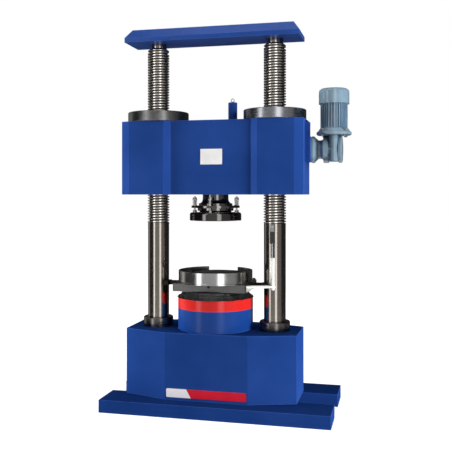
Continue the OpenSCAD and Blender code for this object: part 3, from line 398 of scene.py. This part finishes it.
def moulded(name, colour, rough):
    plastic = Finish(name)
    grain = plastic.noise(700.0, 3.0)
    cloud = plastic.noise(12.0, 3.0)
    plastic.set(Base_Color=plastic.mix(cloud.limited(0.35, 0.7), colour, toned(colour, 1.5, 0.006)))
    plastic.set(Roughness=rough + (grain - 0.5) * 0.2)
    plastic.relief(grain, 0.0001, 0.5, 0.001)
    return plastic.material


headPlastic = moulded("headPlastic", fromScreen(26, 26, 28), 0.42)
rubber = moulded("rubber", fromScreen(20, 20, 21), 0.38)
# near black: painted shade, so that the plate screw reads as a dark hole
holeShadeBlack = moulded("holeShadeBlack", fromScreen(6, 6, 6), 0.75)

nameStrip = {"edgeX": -0.087, "slope": 0.55, "foot": 0.091}


def stripFinish():  # white on the left, red on the right, with a slanting border and nothing written
    strip = Finish("stripEnamel", Coat_Weight=0.08, Coat_Roughness=0.2, Roughness=0.45,
                   Specular_IOR_Level=0.2)
    here = strip.place()
    border = strip.axis("X", here) + (strip.axis("Z", here) - nameStrip["foot"]) * nameStrip["slope"]
    cloud = strip.noise(9.0, 3.0).limited(0.3, 0.7)
    red = strip.mix(cloud, fromScreen(204, 14, 40), fromScreen(222, 22, 50))
    white = strip.mix(cloud, fromScreen(240, 236, 238), fromScreen(250, 247, 249))
    strip.set(Base_Color=strip.mix(border > nameStrip["edgeX"], white, red))
    strip.relief(strip.noise(300.0, 2.0), 0.00005, 0.4, 0.0008)
    return strip.material


def badgeFinish():
    plate = Finish("badgeEnamel", Coat_Weight=0.4, Coat_Roughness=0.08)
    cloud = plate.noise(14.0, 3.0).limited(0.3, 0.7)
    plate.set(Base_Color=plate.mix(cloud, fromScreen(232, 232, 230), fromScreen(246, 246, 244)))
    plate.set(Roughness=0.3 + cloud * 0.08)
    plate.relief(plate.noise(280.0, 2.0), 0.00005, 0.4, 0.0008)
    return plate.material


finishOf = {
    blueFrame: ["rear_cover", "crosshead_body", "motor_mount_plate", "lifting_post"],
    blueBase: ["base_housing"],
    blueSkid: ["front_skid", "rear_skid"],
    blueBright: ["top_beam"],
    blueCylinder: ["main_cylinder"],
    ringRed: ["gland_ring"],
    armBlack: ["left_guide_arm", "right_guide_arm"],
    sensorWhite: ["sensor_bracket", "sensor_sleeve"],
    stopGreen: ["stop_bolt"],
    motorPaint: ["gearbox_neck", "gearbox_housing", "gearbox_cover", "motor_flange", "fan_cowl",
                 "terminal_box"],
    finnedLighterPaint: ["motor_housing"],
    columnSteel: ["left_column", "right_column"],
    collarSteel: ["left_column_collar", "right_column_collar"],
    darkSteel: ["column_lock_nuts", "left_nut_cover", "oil_port_block", "nut_chain", "drive_gear"],
    litCoverSteel: ["right_nut_cover"],
    plateSteel: ["ram_plate", "lower_platen"],
    platenSteel: ["upper_platen"],
    seatSteel: ["seat_holder", "hanger_ring"],
    brightSteel: ["dust_ring", "ram", "sensor_clip", "lifting_eye", "hanger_bolts", "hanger_springs",
                  "thrust_rings", "layshaft", "output_shaft", "motor_rotor", "ball_segment"],
    rodSteel: ["sensor_rod"],
    bronze: ["column_bushes", "left_lead_nut", "right_lead_nut", "reducer_wheel", "seat_liner"],
    headPlastic: ["sensor_head", "motor_fan"],
    rubber: ["dust_boot", "cylinder_seals"],
    stripFinish(): ["name_strip"],
    badgeFinish(): ["crosshead_badge"],
}


def dress(piece, material):
    piece.data.materials.clear()
    piece.data.materials.append(material)


for material, names in finishOf.items():
    for name in names:
        dress(nodes[name], material)
undressed = sorted(set(nodes) - {n for names in finishOf.values() for n in names})
print("materials on", len(nodes) - len(undressed), "nodes, left over:", undressed)


# columns with a cut thread
thread = {"pitch": 0.016, "root": 0.0560, "landAtRoot": 0.0128, "landAtCrest": 0.0055, "turns": 65,
          "steps": 48, "runIn": 0.006, "chamfer": 0.001, "shoulder": 0.003, "neckRadius": 0.050,
          "neckLow": 0.012, "neckHigh": 0.065}


def threadedColumn(name, side, node):
    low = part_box(node)[0].z
    shank, crest, root = machine["columnRadius"], machine["threadRadius"], thread["root"]
    start, end, chamfer = machine["threadStart"], machine["threadEnd"], thread["chamfer"]
    core = turned("core", [
        (shank - chamfer, low),
        (shank, low + chamfer),
        (shank, start - chamfer),
        (root, start + 2 * chamfer),
        (root, end - thread["shoulder"] - chamfer),
        (crest - chamfer, end - thread["shoulder"]),
        (crest - chamfer, end),
        (thread["neckRadius"], end + thread["neckLow"]),
        (thread["neckRadius"], end + thread["neckHigh"]),
    ])
    clearSelection()
    deep = crest - root + chamfer  # the ridge starts a little inside the core
    startZ = start - thread["runIn"]
    bpy.ops.mesh.primitive_plane_add(size=1, rotation=(math.radians(90), 0, 0))
    ridge = bpy.context.object
    ridge.scale = (deep, thread["landAtRoot"], 1)
    ridge.location = (crest - deep / 2, 0, startZ)
    bpy.ops.object.transform_apply(location=True, rotation=True, scale=True)
    bpy.ops.object.mode_set(mode="EDIT")
    pick(ridge, lambda co: co.x > crest - deep / 2)
    bpy.ops.transform.resize(value=(1, 1, thread["landAtCrest"] / thread["landAtRoot"]),
                             center_override=(crest, 0, startZ))
    bpy.ops.mesh.select_all(action="SELECT")
    bpy.ops.mesh.delete(type="ONLY_FACE")
    bpy.ops.object.mode_set(mode="OBJECT")
    addModifier(ridge, "SCREW", axis="Z", screw_offset=thread["pitch"], iterations=thread["turns"],
                steps=thread["steps"], render_steps=thread["steps"], use_merge_vertices=False)
    bpy.ops.object.mode_set(mode="EDIT")
    bpy.ops.mesh.select_all(action="SELECT")
    bpy.ops.mesh.fill_holes(sides=4)
    bpy.ops.mesh.normals_make_consistent(inside=False)
    bpy.ops.object.mode_set(mode="OBJECT")
    whole = joined(name, [core, ridge])
    whole.location = (side * machine["columnX"], 0, 0)
    settle(whole, name)
    smooth(whole, 30)
    dress(whole, columnSteel)
    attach(whole, "frame")
    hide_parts(node)


threadedColumn("leftThreadedColumn", -1, "left_column")
threadedColumn("rightThreadedColumn", 1, "right_column")
print("columns threaded")


# screws: each head is its radius and height
screws = {
    "beam": {"head": (0.018, 0.024), "z": 2.228},
    "nutCover": {"head": (0.009, 0.003), "circle": 0.160, "z": 1.758},
    "gearCover": {"head": (0.0042, 0.0062), "circle": 0.066, "sink": 0.008},
    "flange": {"nut": (0.0105, 0.009), "bolt": (0.0105, 0.007), "circle": 0.088, "thick": 0.0265},
    "rearCover": {"head": (0.0065, 0.0045), "margin": 0.010},
    "plate": {"head": (0.0088, 0.0010), "x": -0.001, "lift": 0.008},
    "clip": {"head": (0.007, 0.006), "drop": 0.012},
}


def headBlank(sides, radius, height):  # a disc on z = 0, in edit mode with its top face selected
    clearSelection()
    bpy.ops.mesh.primitive_cylinder_add(vertices=sides, radius=radius, depth=height,
                                        location=(0, 0, height / 2))
    head = bpy.context.object
    bpy.ops.object.transform_apply(location=True)
    bpy.ops.object.mode_set(mode="EDIT")
    pick(head, lambda centre, normal: normal.z > 0.9, "FACE")
    return head


def socketHead(radius, height):  # a cap screw's head with its socket
    head = headBlank(24, radius, height)
    bpy.ops.mesh.bevel(offset=radius * 0.12, segments=2)
    pick(head, lambda centre, normal: normal.z > 0.9 and centre.z > height * 0.99, "FACE")
    bpy.ops.mesh.inset(thickness=radius * 0.38)
    bpy.ops.mesh.extrude_region_move(TRANSFORM_OT_translate={"value": (0, 0, -height * 0.55)})
    bpy.ops.object.mode_set(mode="OBJECT")
    return head


def hexHead(radius, height):  # a hexagon head with a chamfered crown
    head = headBlank(6, radius, height)
    bpy.ops.mesh.inset(thickness=radius * 0.12)
    bpy.ops.transform.translate(value=(0, 0, height * 0.12))
    bpy.ops.object.mode_set(mode="OBJECT")
    return head


def screwSet(name, head, places, turn, body, material):
    parts = [copied(head, place, turn) for place in places]
    remove(head)
    whole = joined(name, parts)
    smooth(whole, 35)
    dress(whole, material)
    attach(whole, body)


def around(count, radius, x, y, z, start=0.0):
    turns = [math.radians(start + 360 * i / count) for i in range(count)]
    return [(x + radius * math.cos(a), y + radius * math.sin(a), z) for a in turns]


columnX = machine["columnX"]
upright, down, toRight, toFront, toRear = (0, 0, 0), (180, 0, 0), (0, 90, 0), (90, 0, 0), (-90, 0, 0)

kind = screws["beam"]
screwSet("beamScrews", socketHead(*kind["head"]), [(-columnX, 0, kind["z"]), (columnX, 0, kind["z"])],
         upright, "frame", darkSteel)

kind = screws["nutCover"]
for side, title in ((-1, "leftCoverScrews"), (1, "rightCoverScrews")):
    places = around(8, kind["circle"], side * columnX, 0, kind["z"], 22.5)
    screwSet(title, socketHead(*kind["head"]), places, upright, "crosshead", darkSteel)

kind = screws["gearCover"]
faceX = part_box("gearbox_cover")[1].x - kind["sink"]
ring = around(8, kind["circle"], machine["shaftY"], machine["shaftZ"], faceX, 22.5)
screwSet("gearCoverScrews", socketHead(*kind["head"]), [(x, y, z) for y, z, x in ring], toRight,
         "crosshead", brightSteel)

kind = screws["flange"]
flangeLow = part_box("motor_flange")[0].z
for title, size, z, turn in (("flangeNuts", "nut", flangeLow + kind["thick"], upright),
                             ("flangeBolts", "bolt", flangeLow, down)):
    places = around(4, kind["circle"], machine["motorX"], machine["motorY"], z, 45)
    screwSet(title, hexHead(*kind[size]), places, turn, "crosshead", brightSteel)

kind = screws["rearCover"]
low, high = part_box("rear_cover")
places = [(x, high.y, z) for x in (low.x + kind["margin"], high.x - kind["margin"])
          for z in (low.z + kind["margin"], (low.z + high.z) / 2, high.z - kind["margin"])]
screwSet("rearCoverScrews", hexHead(*kind["head"]), places, toRear, "frame", brightSteel)

# the plate screw is near black, as painted shade of a hole
kind = screws["plate"]
low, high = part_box("ram_plate")
places = [(kind["x"], low.y, (low.z + high.z) / 2 + kind["lift"])]
screwSet("plateScrew", socketHead(*kind["head"]), places, toFront, "ram", holeShadeBlack)

kind = screws["clip"]
low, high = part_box("sensor_clip")
places = [(columnX, low.y, high.z - kind["drop"])]
screwSet("clipScrew", socketHead(*kind["head"]), places, toFront, "frame", brightSteel)
print("screws in place")


# folded dust boot
boot = {"hemRadius": 0.229, "hemLift": 0.0004, "footRadius": 0.219, "topRadius": 0.187, "low": 0.6506,
        "high": 0.6927, "folds": 3, "depth": 0.009, "inward": 0.6, "wall": 0.0015, "wrinkleSize": 0.035,
        "wrinkleDepth": 0.011}


def dustBoot():
    profile = [(boot["hemRadius"], boot["low"] + boot["hemLift"])]
    count = boot["folds"] * 2
    for i in range(count + 1):
        t = i / count
        radius = boot["footRadius"] + (boot["topRadius"] - boot["footRadius"]) * t
        radius += (boot["depth"] if i % 2 else 0) - boot["depth"] * boot["inward"] * (0 < i < count)
        profile.append((radius, boot["low"] + (boot["high"] - boot["low"]) * t))
    skin = turned("dustBootFolds", profile, sides=240, closed=False)
    addModifier(skin, "SUBSURF", levels=1, render_levels=1)
    wrinkles = bpy.data.textures.new("wrinkles", "CLOUDS")
    wrinkles.noise_scale = boot["wrinkleSize"]
    wrinkles.noise_depth = 3
    addModifier(skin, "DISPLACE", texture=wrinkles, texture_coords="LOCAL", mid_level=0.5,
                strength=boot["wrinkleDepth"])
    addModifier(skin, "SOLIDIFY", thickness=boot["wall"], offset=-1)
    smooth(skin, 60)
    dress(skin, rubber)
    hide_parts("dust_boot")
    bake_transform(skin)  # its place is put into its mesh


dustBoot()
print("boot folded")


# hanger springs, split at half height because the platen tilts on two joints, one after the other
spring = {"circle": 0.130, "radius": 0.0125, "wire": 0.003, "turns": 5, "sides": 12, "stepsPerTurn": 28,
          "stepsAtEnd": 56}


def springHalf(name, startZ, rise, startTurn, ringZ):
    clearSelection()
    thick = spring["wire"] / 2
    bpy.ops.mesh.primitive_circle_add(vertices=spring["sides"], radius=thick,
                                      location=(spring["radius"], 0, startZ),
                                      rotation=(math.radians(90), 0, 0))
    coil = bpy.context.object
    bpy.ops.object.transform_apply(location=True, rotation=True, scale=True)
    steps = round(spring["stepsPerTurn"] * spring["turns"] / 2)
    addModifier(coil, "SCREW", axis="Z", angle=math.radians(180 * spring["turns"]), screw_offset=rise,
                iterations=1, steps=steps, render_steps=steps, use_merge_vertices=False)
    bpy.ops.object.mode_set(mode="EDIT")
    bpy.ops.mesh.select_all(action="SELECT")
    bpy.ops.mesh.fill_holes(sides=spring["sides"])
    bpy.ops.mesh.normals_make_consistent(inside=False)
    bpy.ops.object.mode_set(mode="OBJECT")
    coil.rotation_euler.z = math.radians(360 * startTurn)
    bpy.ops.mesh.primitive_torus_add(major_segments=spring["stepsAtEnd"], minor_segments=spring["sides"],
                                     major_radius=spring["radius"], minor_radius=thick,
                                     location=(0, 0, ringZ))  # the closed end turn
    one = joined("springHalf", [coil, bpy.context.object])
    places = around(4, spring["circle"], 0, 0, 0)
    parts = [copied(one, place, (0, 0, 90 * i)) for i, place in enumerate(places)]
    remove(one)
    whole = joined(name, parts)
    smooth(whole, 40)
    dress(whole, brightSteel)
    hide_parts("hanger_springs")
    ends = sorted((ringZ, startZ if startTurn else startZ + rise))
    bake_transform(whole)


springLow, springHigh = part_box("hanger_springs")
footZ, crownZ = springLow.z + spring["wire"] / 2, springHigh.z - spring["wire"] / 2
halfRise = (crownZ - footZ) / 2
springHalf("hangerSpringFeet", footZ, halfRise, 0, footZ)
springHalf("hangerSpringCrowns", footZ + halfRise, halfRise, spring["turns"] / 2, crownZ)
print("springs wound")


# floor that keeps the shadow near the machine and fades to the white background
ground = {"size": 40, "fadeStart": 1.3, "fadeEnd": 3.2, "glow": 0.55,
          "far": [0.3, 0.3, 0.3, 1], "near": [0.62, 0.62, 0.62, 1]}


def floorFinish():
    paper = Finish("paleFloor", Roughness=1.0, Specular_IOR_Level=0.0)
    here = paper.place()
    away = paper.node("VectorMath", output="Value", settings={"operation": "LENGTH"}, Vector=here)
    fade = away.limited(ground["fadeStart"], ground["fadeEnd"])
    seen = paper.seen()
    paper.set(Base_Color=paper.mix(seen * (1 - fade), ground["far"], ground["near"]))
    glow = seen * (fade * (1 - ground["glow"]) + ground["glow"])
    paper.set(Emission_Color=(1, 1, 1, 1), Emission_Strength=glow)
    return paper.material


clearSelection()
bpy.ops.mesh.primitive_grid_add(x_subdivisions=8, y_subdivisions=8, size=ground["size"])
floor = settle(bpy.context.object, "studioFloor")
dress(floor, floorFinish())
floor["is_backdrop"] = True


# white background, whose light is dimmer overhead, as under a workshop roof
sky = {"level": 0.3, "overhead": 0.1, "from": 0.1, "to": 0.9}
world = bpy.data.worlds.new("studioWorld")
bpy.context.scene.world = world
world.use_nodes = True
air = NodeSet(world.node_tree)
height = air.axis("Z", air.node("TexCoord", output="Generated"))
light = air.node("MapRange", Value=height, From_Min=sky["from"], From_Max=sky["to"], To_Min=sky["level"],
                 To_Max=sky["overhead"])
background = air.tree.nodes["Background"]
air.feed(background.inputs["Strength"], air.node("MapRange", Value=air.seen(), To_Min=light, To_Max=1.0))
air.feed(background.inputs["Color"], (1, 1, 1, 1))


# dark studio wall with bright strips, seen only in reflections
# its front glows a little, and each strip is its angle and half width in degrees and its power
wall = {"radius": 2.4, "height": 9.0, "below": 1, "dark": 0.05, "dim": 0.5,
        "front": -91, "frontWidth": (45, 15),
        "strips": [(-126, 9, 3.6), (-60, 11, 3.4), (-30, 26, 0.35), (165, 16, 0.6)]}


def wallFinish():
    card = Finish("studioWall", Roughness=1.0, Specular_IOR_Level=0.0, Base_Color=(0, 0, 0, 1))
    here = card.place()
    angle = card.axis("Y", here).reckon("ARCTAN2", card.axis("X", here)) * (180 / math.pi)
    front = (angle - wall["front"]).reckon("ABSOLUTE").limited(*wall["frontWidth"])
    glow = front * wall["dim"] + wall["dark"]
    for middle, width, power in wall["strips"]:
        glow = glow + (angle - middle).reckon("ABSOLUTE").limited(width, width * 0.55) * power
    card.set(Emission_Color=(1, 1, 1, 1), Emission_Strength=glow)
    return card.material


clearSelection()
bpy.ops.mesh.primitive_cylinder_add(vertices=96, radius=wall["radius"], depth=wall["height"],
                                    location=(0, 0, wall["height"] / 2 - wall["below"]),
                                    end_fill_type="NOTHING")
reflector = settle(bpy.context.object, "studioWall")
dress(reflector, wallFinish())
reflector.visible_camera = False
reflector.visible_diffuse = False
reflector.visible_shadow = False
reflector.visible_transmission = False
reflector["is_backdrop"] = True


lamps = {
    "leftLight": {"place": (-4.9, -0.95, 1.6), "aim": (0, 0, 1.0), "power": 385, "size": (1.4, 2.0)},
    "rightLight": {"place": (4.65, -1.55, 1.6), "aim": (0, 0, 1.0), "power": 324, "size": (1.4, 2.0)},
    "backLight": {"place": (0.9, 4.6, 1.7), "aim": (0, 0, 1.1), "power": 115, "size": (2.0, 2.0)},
    "beamLight": {"place": (0, -0.4, 3.4), "aim": (0, 0, 2.2), "power": 18, "size": (1.4, 0.3)},
}


def softLight(name, place, aim, power, size):
    lamp = bpy.data.lights.new(name, "AREA")
    lamp.shape = "RECTANGLE"
    lamp.size, lamp.size_y = size
    lamp.energy = power
    holder = bpy.data.objects.new(name, lamp)
    bpy.context.collection.objects.link(holder)
    holder.location = place
    toward = [a - p for a, p in zip(aim, place)]
    level = math.hypot(toward[0], toward[1])
    turn = math.atan2(toward[1], toward[0]) - math.pi / 2
    holder.rotation_euler = (math.atan2(level, -toward[2]), 0, turn)
    holder.visible_glossy = False


for name, lamp in lamps.items():
    softLight(name, **lamp)
print("floor, wall and lamps set up")

# the photograph's view: level, turned to the left, and shifted by 31 of 450 pixels instead of tilted
view = {"place": (1.076, -4.207, 1.2635), "turn": 13.6, "lens": 57.7, "sensor": 36, "shiftY": -31 / 450}
shot = bpy.data.cameras.new("shotCamera")
shot.lens = view["lens"]
shot.sensor_width = view["sensor"]
shot.shift_y = view["shiftY"]
shot.clip_end = 100
cameraStand = bpy.data.objects.new("shotCamera", shot)
bpy.context.collection.objects.link(cameraStand)
cameraStand.location = view["place"]
cameraStand.rotation_euler = (math.radians(90), 0, math.radians(view["turn"]))
bpy.context.scene.camera = cameraStand
bpy.context.scene.view_settings.view_transform = "Standard"

low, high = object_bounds()
